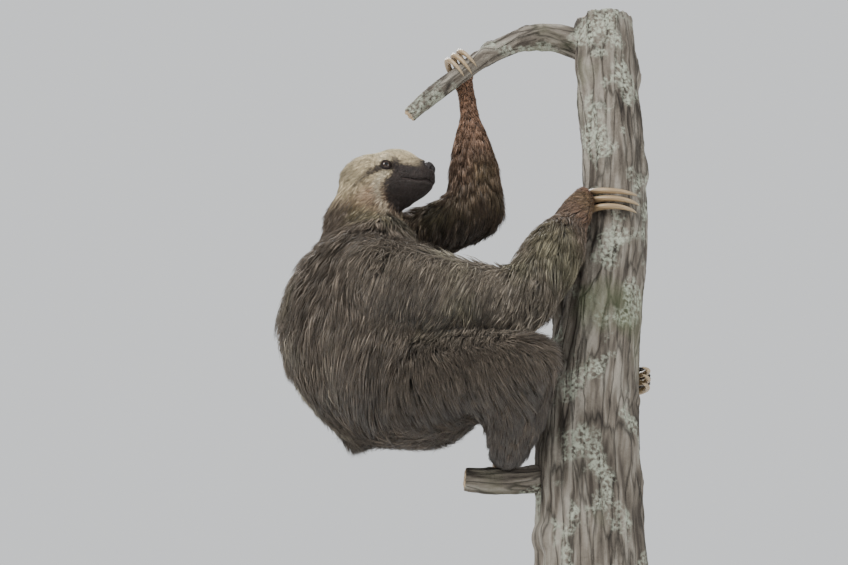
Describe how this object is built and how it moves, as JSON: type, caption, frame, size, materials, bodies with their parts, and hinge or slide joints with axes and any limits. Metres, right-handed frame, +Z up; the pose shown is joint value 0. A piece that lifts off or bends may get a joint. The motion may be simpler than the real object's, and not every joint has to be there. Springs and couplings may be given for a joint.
{
  "type": "three-toed sloth, still life-size model clinging to a cut length of tree on a display stand",
  "caption": "Three-toed sloth hugging a cut tree stem, one arm hooked over a bough above its head, on a rod and a flat display base.",
  "frame": {"origin": "centre of the underside of the stand's flat base", "axes": "+Z up; the sloth's belly and face look along +X, its right side is on -Y and its left side on +Y"},
  "size_m": [0.4595, 0.32, 0.9257],
  "materials": {
    "coat_grey": "coarse shaggy grey-brown hair",
    "coat_arm": "shorter reddish-brown hair",
    "coat_face": "short pale cream hair with a dark eye stripe",
    "nose_leather": "moist black nose skin",
    "claw_horn": "smooth horn",
    "eye_dark": "wet dark brown eye",
    "bark": "grey-brown bark with pale lichen",
    "steel": "satin dark grey steel",
    "base_wood": "dark stained wood, satin varnish"
  },
  "bodies": {
    "root": {"head": "coat_face", "nose": "nose_leather", "eye_left": "eye_dark", "eye_right": "eye_dark", "neck": "coat_grey", "torso": "coat_grey", "tail": "coat_grey", "upper_arm_left": "coat_grey", "forearm_left": "coat_arm", "hand_left": "coat_arm", "claw_hand_left_1": "claw_horn", "claw_hand_left_2": "claw_horn", "claw_hand_left_3": "claw_horn", "upper_arm_right": "coat_grey", "forearm_right": "coat_grey", "hand_right": "coat_arm", "claw_hand_right_1": "claw_horn", "claw_hand_right_2": "claw_horn", "claw_hand_right_3": "claw_horn", "thigh_left": "coat_grey", "shin_left": "coat_grey", "foot_left": "coat_grey", "claw_foot_left_1": "claw_horn", "claw_foot_left_2": "claw_horn", "claw_foot_left_3": "claw_horn", "thigh_right": "coat_grey", "shin_right": "coat_grey", "foot_right": "coat_grey", "claw_foot_right_1": "claw_horn", "claw_foot_right_2": "claw_horn", "claw_foot_right_3": "claw_horn", "perch_stem": "bark", "perch_bough": "bark", "perch_stub": "bark", "stand_base": "base_wood", "stand_collar": "steel", "stand_rod": "steel"}
  },
  "joints": []
}
